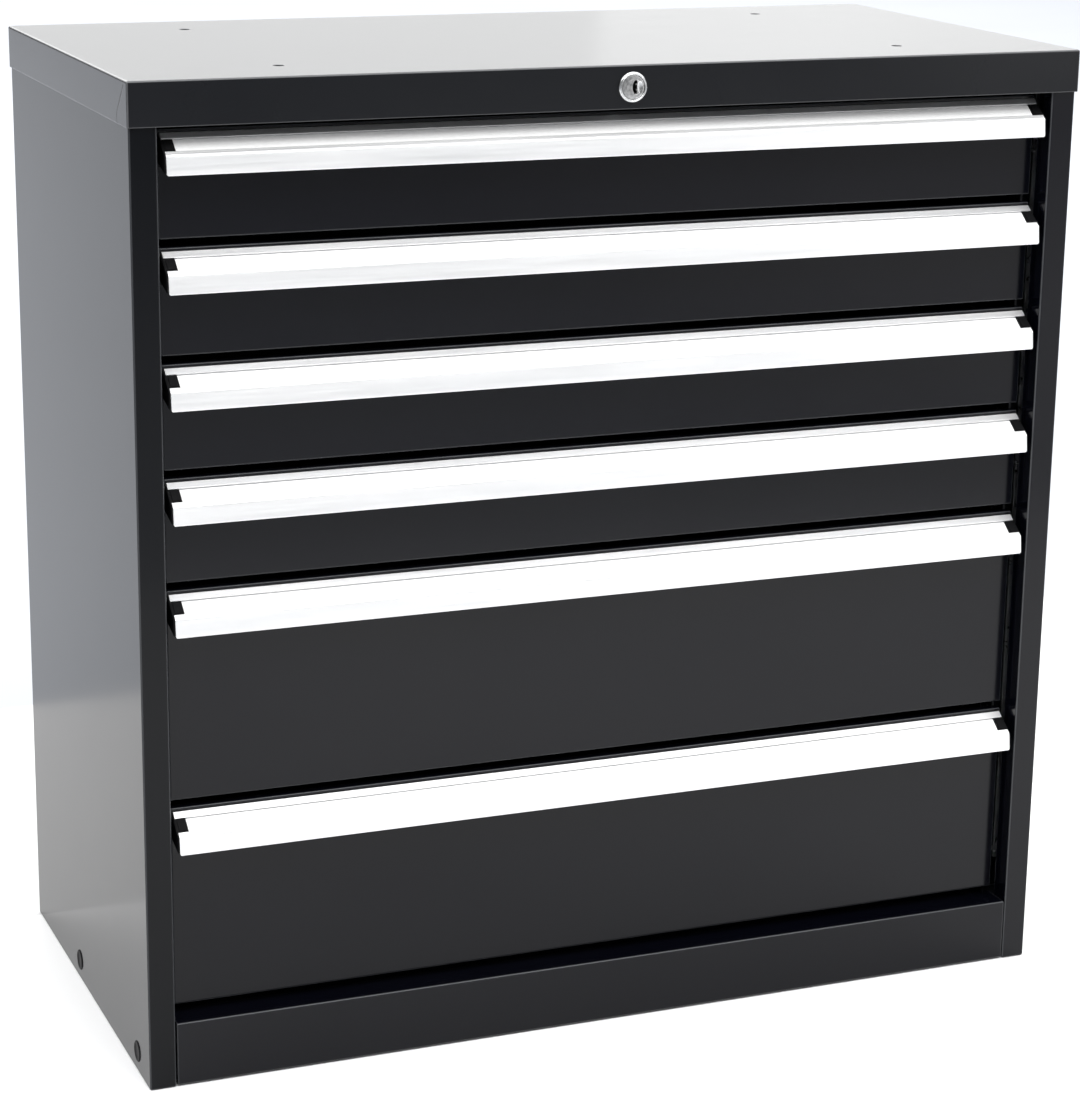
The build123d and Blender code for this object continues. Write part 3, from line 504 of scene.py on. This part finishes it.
BEZEL_R = (high.x - low.x) / 2
BEZEL_T = 0.003
BARREL_R = 0.0093
BARREL_END = high.y - low.y
RECESS_R = 0.0109
RECESS_DEPTH = 0.0023
BORE_R = 0.0066
LIP_R = 0.0005
CROWN_START = 0.0003
CROWN_DROP = 0.0021
THREAD_START = 0.002
THREAD_PITCH = 0.001
THREAD_DEPTH = 0.0005
CHAMFER = 0.0004
ARC_STEPS = 8
outline = [(BORE_R, BARREL_END), (BORE_R, RECESS_DEPTH), (RECESS_R, RECESS_DEPTH), (RECESS_R, LIP_R)]
for step in range(ARC_STEPS + 1):
    turn = math.pi * step / ARC_STEPS
    outline.append((RECESS_R + LIP_R - LIP_R * math.cos(turn), LIP_R - LIP_R * math.sin(turn)))
crown_r = BEZEL_R - RECESS_R - 2 * LIP_R
for step in range(1, ARC_STEPS + 1):
    turn = math.pi / 2 * step / ARC_STEPS
    outline.append((BEZEL_R - crown_r + crown_r * math.sin(turn),
                    CROWN_START + CROWN_DROP * (1 - math.cos(turn))))
outline += [(BEZEL_R, BEZEL_T), (BARREL_R, BEZEL_T)]
y = BEZEL_T + THREAD_START
while y < BARREL_END - 2 * THREAD_PITCH:
    outline += [(BARREL_R, y), (BARREL_R, y + 0.1 * THREAD_PITCH),
                (BARREL_R - THREAD_DEPTH, y + 0.5 * THREAD_PITCH)]
    y += THREAD_PITCH
outline += [(BARREL_R, y), (BARREL_R, BARREL_END - CHAMFER), (BARREL_R - CHAMFER, BARREL_END)]
lock_barrel = turned("lock_barrel", outline, LOCK_AXIS, (0, 1, 0), 96)
lock_barrel.data.materials.append(bezel_chrome)
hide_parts("lock_housing")
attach(lock_barrel, "cabinet")

# Near-black paint for the keyway's walls and floor: painted shade inside the slot.
keyway_painted_shade, nodes, links, shader = paint_shop("keyway_painted_shade")
shader.inputs["Metallic"].default_value = 0.4
shader.inputs["Roughness"].default_value = 0.6
links.new(tones(nodes, links, grain(nodes, links, (0.4, 0.2, 0.8), 900.0, 3.0),
                (0.008, 0.008, 0.008), (0.03, 0.029, 0.028)), shader.inputs["Base Color"])

low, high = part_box("lock_plug")
PLUG_AXIS = Vector((0.0, low.y, (low.z + high.z) / 2))
HEAD_R = (high.x - low.x) / 2
HEAD_T = 0.0016
PLUG_R = 0.0062
TAIL_LEN = 0.0032
TAIL_W = 0.006
SHAFT_END = high.y - low.y - TAIL_LEN
GROOVE_R = 0.0069
GROOVE_DEPTH = 0.00025
outline = [
    (0.0, 0.0), (GROOVE_R - 0.0003, 0.0), (GROOVE_R - 0.0001, GROOVE_DEPTH),
    (GROOVE_R + 0.0001, GROOVE_DEPTH), (GROOVE_R + 0.0003, 0.0), (HEAD_R - 0.0007, 0.0),
    (HEAD_R - 0.0002, 0.00025), (HEAD_R, 0.0007), (HEAD_R, HEAD_T), (PLUG_R, HEAD_T),
    (PLUG_R, SHAFT_END), (0.0, SHAFT_END),
]
lock_core = turned("lock_core", outline, PLUG_AXIS, (0, 1, 0), 96)

KEYWAY_HALF_H = 0.0060
KEYWAY_LEFT = 0.0011
KEYWAY_BULGE = 0.0021
KEYWAY_RIGHT = 0.0030
KEYWAY_WORN = 0.0003
KEYWAY_DEPTH = 0.016
WARDS = [(0.0030, 0.0018, 0.0009), (-0.0016, -0.0028, 0.0007)]


def keyway_ring(form, distance, right, with_wards):
    """Points of the keyway's outline at that distance behind the plug's face."""
    spots = []
    for step in range(13):
        share = step / 6 - 1
        spots.append((KEYWAY_LEFT - KEYWAY_BULGE * (1 - share ** 2), KEYWAY_HALF_H * share))
    spots.append((right, KEYWAY_HALF_H))
    for upper, lower, reach in WARDS:
        inner = right - reach if with_wards else right
        spots += [(right, upper), (inner, upper - 0.0001), (inner, lower + 0.0001), (right, lower)]
    spots.append((right, -KEYWAY_HALF_H))
    return [form.verts.new(PLUG_AXIS + Vector((x, distance, z))) for x, z in spots]


form = bmesh.new()
rings = [keyway_ring(form, -0.001, KEYWAY_RIGHT + 2 * KEYWAY_WORN, False),
         keyway_ring(form, 0.001, KEYWAY_RIGHT, True), keyway_ring(form, KEYWAY_DEPTH, KEYWAY_RIGHT, True)]
for near, far in zip(rings, rings[1:]):
    for step in range(len(near)):
        after = (step + 1) % len(near)
        form.faces.new([near[step], near[after], far[after], far[step]])
form.faces.new(rings[0])
form.faces.new(rings[-1])
bmesh.ops.recalc_face_normals(form, faces=form.faces)
mesh = bpy.data.meshes.new("keyway_cutter")
form.to_mesh(mesh)
form.free()
keyway_cutter = bpy.data.objects.new("keyway_cutter", mesh)

DISH_X = 0.0061
DISH_SIZE = (0.0030, 0.0010, 0.0056)
form = bmesh.new()
bmesh.ops.create_icosphere(form, subdivisions=5, radius=1.0)
bmesh.ops.transform(form, matrix=Matrix.Translation(PLUG_AXIS + Vector((DISH_X, -0.4 * DISH_SIZE[1], 0.0)))
                    @ Matrix.Diagonal((*DISH_SIZE, 1.0)), verts=form.verts)
mesh = bpy.data.meshes.new("dish_cutter")
form.to_mesh(mesh)
form.free()
dish_cutter = bpy.data.objects.new("dish_cutter", mesh)


def settle(piece):
    """Works the piece's modifiers into its mesh."""
    graph = bpy.context.evaluated_depsgraph_get()
    made = bpy.data.meshes.new_from_object(piece.evaluated_get(graph))
    piece.modifiers.clear()
    piece.data = made


for cutter in (keyway_cutter, dish_cutter):
    bpy.context.scene.collection.objects.link(cutter)
    cut = lock_core.modifiers.new(cutter.name, "BOOLEAN")
    cut.operation = "DIFFERENCE"
    cut.solver = "EXACT"
    cut.object = cutter
settle(lock_core)
for cutter in (keyway_cutter, dish_cutter):
    bpy.data.objects.remove(cutter)

form = bmesh.new()
bmesh.ops.create_cube(form, size=1.0)
tail_middle = PLUG_AXIS + Vector((0, SHAFT_END + TAIL_LEN / 2 - 0.0005, 0))
bmesh.ops.transform(form, matrix=Matrix.Translation(tail_middle)
                    @ Matrix.Diagonal((TAIL_W, TAIL_LEN + 0.001, TAIL_W, 1.0)), verts=form.verts)
bmesh.ops.bevel(form, geom=form.edges[:], offset=0.0003, segments=2, affect="EDGES")
mesh = bpy.data.meshes.new("plug_tail")
form.to_mesh(mesh)
form.free()
plug_tail = bpy.data.objects.new("plug_tail", mesh)
lock_core = joined("lock_core", [lock_core, plug_tail])
lock_core.data.shade_smooth()
lock_core.data.set_sharp_from_angle(angle=math.radians(32))
for metal in (plug_nickel, keyway_painted_shade, bezel_chrome):
    lock_core.data.materials.append(metal)
HAIR = 0.0001
# The keyway's walls and floor take the painted shade, and the dish takes the chrome.
for face in lock_core.data.polygons:
    spot = face.center - PLUG_AXIS
    in_keyway = (abs(spot.z) < KEYWAY_HALF_H + HAIR
                 and KEYWAY_LEFT - KEYWAY_BULGE - HAIR < spot.x < KEYWAY_RIGHT + HAIR)
    if in_keyway and 0.0004 < spot.y < KEYWAY_DEPTH + HAIR and abs(face.normal.y) < 0.3:
        face.material_index = 1
    elif 0.00002 < spot.y < DISH_SIZE[1] and 0 < spot.x - DISH_X + DISH_SIZE[0] < 2 * DISH_SIZE[0]:
        face.material_index = 2
    elif abs(spot.y - KEYWAY_DEPTH) < HAIR and abs(face.normal.y) > 0.9:
        face.material_index = 1

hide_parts("lock_plug")
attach(lock_core, "lock_plug")

for node in ("lock_nut", "lock_cam", "lock_link", "lock_bar", "lock_guides"):
    dress(node, slide_zinc)


# Screws and rivets
# Zinc-plated pan-head screws with a cross recess hold the back, the cap and the drawer fronts.
# Blind rivets with a flat dome hold the inner slide members to the walls of the trays.

def fastener_tree():
    """Geometry Nodes tree that puts one turned fastener on every point, facing its own way."""
    tree = bpy.data.node_groups.new("fastener", "GeometryNodeTree")
    tree.interface.new_socket("Points", in_out="INPUT", socket_type="NodeSocketGeometry")
    for name in ("Head Radius", "Head Height", "Shank Radius", "Shank Length", "Recess Width",
                 "Recess Depth"):
        tree.interface.new_socket(name, in_out="INPUT", socket_type="NodeSocketFloat")
    tree.interface.new_socket("Cross Recess", in_out="INPUT", socket_type="NodeSocketBool")
    tree.interface.new_socket("Seed", in_out="INPUT", socket_type="NodeSocketInt")
    tree.interface.new_socket("Finish", in_out="INPUT", socket_type="NodeSocketMaterial")
    tree.interface.new_socket("Fasteners", in_out="OUTPUT", socket_type="NodeSocketGeometry")
    nodes, links = tree.nodes, tree.links
    given = nodes.new("NodeGroupInput").outputs

    def maths(kind, a, b):
        """Result of a maths node of that kind on two numbers or sockets."""
        made = nodes.new("ShaderNodeMath")
        made.operation = kind
        for socket, value in zip(made.inputs, (a, b)):
            if isinstance(value, (int, float)):
                socket.default_value = value
            else:
                links.new(value, socket)
        return made.outputs["Value"]

    head = nodes.new("GeometryNodeMeshCone")
    head.inputs["Vertices"].default_value = 24
    head.inputs["Side Segments"].default_value = 6
    head.inputs["Radius Top"].default_value = 0.0
    links.new(given["Head Radius"], head.inputs["Radius Bottom"])
    links.new(given["Head Height"], head.inputs["Depth"])
    place = nodes.new("GeometryNodeInputPosition")
    split = nodes.new("ShaderNodeSeparateXYZ")
    links.new(place.outputs["Position"], split.inputs["Vector"])
    out = maths("SQRT", maths("ADD", maths("POWER", split.outputs["X"], 2.0),
                              maths("POWER", split.outputs["Y"], 2.0)), 0.0)
    fall = maths("POWER", maths("DIVIDE", out, given["Head Radius"]), 3.5)
    rise = maths("MULTIPLY", given["Head Height"], maths("SUBTRACT", 1.0, fall))
    put = nodes.new("ShaderNodeCombineXYZ")
    links.new(split.outputs["X"], put.inputs["X"])
    links.new(split.outputs["Y"], put.inputs["Y"])
    links.new(rise, put.inputs["Z"])
    dome = nodes.new("GeometryNodeSetPosition")
    links.new(head.outputs["Mesh"], dome.inputs["Geometry"])
    links.new(put.outputs["Vector"], dome.inputs["Position"])

    cut = nodes.new("GeometryNodeMeshBoolean")
    cut.operation = "DIFFERENCE"
    cut.solver = "EXACT"
    links.new(dome.outputs["Geometry"], cut.inputs["Mesh 1"])
    span = maths("MULTIPLY", given["Head Radius"], 1.1)
    deep = maths("MULTIPLY", given["Recess Depth"], 2.0)
    for long_way in ("X", "Y"):
        size = nodes.new("ShaderNodeCombineXYZ")
        links.new(span if long_way == "X" else given["Recess Width"], size.inputs["X"])
        links.new(given["Recess Width"] if long_way == "X" else span, size.inputs["Y"])
        links.new(deep, size.inputs["Z"])
        bar = nodes.new("GeometryNodeMeshCube")
        links.new(size.outputs["Vector"], bar.inputs["Size"])
        up = nodes.new("ShaderNodeCombineXYZ")
        links.new(given["Head Height"], up.inputs["Z"])
        lift = nodes.new("GeometryNodeTransform")
        links.new(bar.outputs["Mesh"], lift.inputs["Geometry"])
        links.new(up.outputs["Vector"], lift.inputs["Translation"])
        links.new(lift.outputs["Geometry"], cut.inputs["Mesh 2"])
    choice = nodes.new("GeometryNodeSwitch")
    choice.input_type = "GEOMETRY"
    links.new(given["Cross Recess"], choice.inputs["Switch"])
    links.new(dome.outputs["Geometry"], choice.inputs["False"])
    links.new(cut.outputs["Mesh"], choice.inputs["True"])

    shank = nodes.new("GeometryNodeMeshCylinder")
    shank.inputs["Vertices"].default_value = 12
    links.new(given["Shank Radius"], shank.inputs["Radius"])
    links.new(given["Shank Length"], shank.inputs["Depth"])
    down = nodes.new("ShaderNodeCombineXYZ")
    links.new(maths("MULTIPLY", given["Shank Length"], -0.49), down.inputs["Z"])
    drop = nodes.new("GeometryNodeTransform")
    links.new(shank.outputs["Mesh"], drop.inputs["Geometry"])
    links.new(down.outputs["Vector"], drop.inputs["Translation"])
    whole = nodes.new("GeometryNodeJoinGeometry")
    links.new(choice.outputs["Output"], whole.inputs["Geometry"])
    links.new(drop.outputs["Geometry"], whole.inputs["Geometry"])

    facing = nodes.new("GeometryNodeInputNamedAttribute")
    facing.data_type = "FLOAT_VECTOR"
    facing.inputs["Name"].default_value = "facing"
    aim = nodes.new("FunctionNodeAlignRotationToVector")
    aim.axis = "Z"
    links.new(facing.outputs["Attribute"], aim.inputs["Vector"])
    spin = nodes.new("FunctionNodeRandomValue")
    spin.data_type = "FLOAT_VECTOR"
    spin.inputs["Min"].default_value = (0.0, 0.0, 0.0)
    spin.inputs["Max"].default_value = (0.0, 0.0, 2 * math.pi)
    links.new(given["Seed"], spin.inputs["Seed"])
    put_on = nodes.new("GeometryNodeInstanceOnPoints")
    links.new(given["Points"], put_on.inputs["Points"])
    links.new(whole.outputs["Geometry"], put_on.inputs["Instance"])
    links.new(aim.outputs["Rotation"], put_on.inputs["Rotation"])
    twist = nodes.new("GeometryNodeRotateInstances")
    links.new(put_on.outputs["Instances"], twist.inputs["Instances"])
    links.new(spin.outputs["Value"], twist.inputs["Rotation"])
    real = nodes.new("GeometryNodeRealizeInstances")
    links.new(twist.outputs["Instances"], real.inputs["Geometry"])
    paint = nodes.new("GeometryNodeSetMaterial")
    links.new(real.outputs["Geometry"], paint.inputs["Geometry"])
    links.new(given["Finish"], paint.inputs["Material"])
    result = nodes.new("NodeGroupOutput")
    links.new(paint.outputs["Geometry"], result.inputs["Fasteners"])
    return tree


FASTENER = fastener_tree()
PAN_SCREW = {"Head Radius": 0.0039, "Head Height": 0.0029, "Shank Radius": 0.002, "Shank Length": 0.008,
             "Recess Width": 0.0011, "Recess Depth": 0.0016, "Cross Recess": True}
FRONT_SCREW = dict(PAN_SCREW, **{"Head Height": 0.0024, "Shank Length": 0.0022})
SLIDE_RIVET = {"Head Radius": 0.0042, "Head Height": 0.0012, "Shank Radius": 0.0019, "Shank Length": 0.0026,
               "Recess Width": 0.001, "Recess Depth": 0.0005, "Cross Recess": False}


def fasteners(name, spots, sizes, seed, finish):
    """One mesh of fasteners at (place, facing) spots."""
    mesh = bpy.data.meshes.new(name)
    mesh.from_pydata([place for place, facing in spots], [], [])
    mesh.attributes.new("facing", "FLOAT_VECTOR", "POINT")
    for point, (place, facing) in zip(mesh.attributes["facing"].data, spots):
        point.vector = facing
    row = bpy.data.objects.new(name, mesh)
    bpy.context.scene.collection.objects.link(row)
    layout = row.modifiers.new("fastener", "NODES")
    layout.node_group = FASTENER
    for socket in FASTENER.interface.items_tree:
        if socket.in_out == "INPUT" and socket.name in sizes:
            layout[socket.identifier] = sizes[socket.name]
        elif socket.name == "Seed":
            layout[socket.identifier] = seed
        elif socket.name == "Finish":
            layout[socket.identifier] = finish
    settle(row)
    row.data.shade_smooth()
    row.data.set_sharp_from_angle(angle=math.radians(35))
    return row


screw_zinc = zinc_plate("screw_zinc", (1.4, 0.2, 2.0))
low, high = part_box("rear_screws")
SCREW_X = high.x - PAN_SCREW["Head Radius"]
SKIRT_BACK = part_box("top_cap")[1].y
SIDE_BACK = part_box("side_panel_right")[1].y
MIDDLE_SCREW_Z = 0.45
UPPER_SCREW_Z = 0.8
spots = []
for hand in (-1, 1):
    for z in (low.z + PAN_SCREW["Head Radius"], MIDDLE_SCREW_Z, UPPER_SCREW_Z):
        spots.append((Vector((hand * SCREW_X, SIDE_BACK, z)), (0, 1, 0)))
    spots.append((Vector((hand * SCREW_X, SKIRT_BACK, high.z - PAN_SCREW["Head Radius"])), (0, 1, 0)))
back_screws = fasteners("back_screws", spots, PAN_SCREW, 4, screw_zinc)
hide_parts("rear_screws")
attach(back_screws, "cabinet")

TRAY_SHEET = 0.001
RIVET_INSET = 0.035
FRONT_SCREW_X = (-0.36, -0.12, 0.12, 0.36)
FRONT_SCREW_INSET = 0.037
LOW_TRAY_MAX = 0.1
for number in DRAWERS:
    low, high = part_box("drawer_tray_%d" % number)
    slide_low, slide_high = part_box("slide_inner_%d" % number)
    mid_z = (slide_low.z + slide_high.z) / 2
    inner_x = -low.x - TRAY_SHEET
    rivets = []
    for hand in (-1, 1):
        for y in (low.y + RIVET_INSET, (low.y + high.y) / 2, high.y - RIVET_INSET):
            rivets.append((Vector((hand * inner_x, y, mid_z)), (-hand, 0, 0)))
    row = fasteners("slide_rivets_%d" % number, rivets, SLIDE_RIVET, number, screw_zinc)
    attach(row, "drawer_%d" % number)
    screws = []
    levels = [low.z + FRONT_SCREW_INSET]
    if high.z - low.z > LOW_TRAY_MAX:
        levels.append(high.z - FRONT_SCREW_INSET)
    for z in levels:
        for x in FRONT_SCREW_X:
            screws.append((Vector((x, low.y + TRAY_SHEET, z)), (0, 1, 0)))
    row = fasteners("front_screws_%d" % number, screws, FRONT_SCREW, 10 + number, screw_zinc)
    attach(row, "drawer_%d" % number)
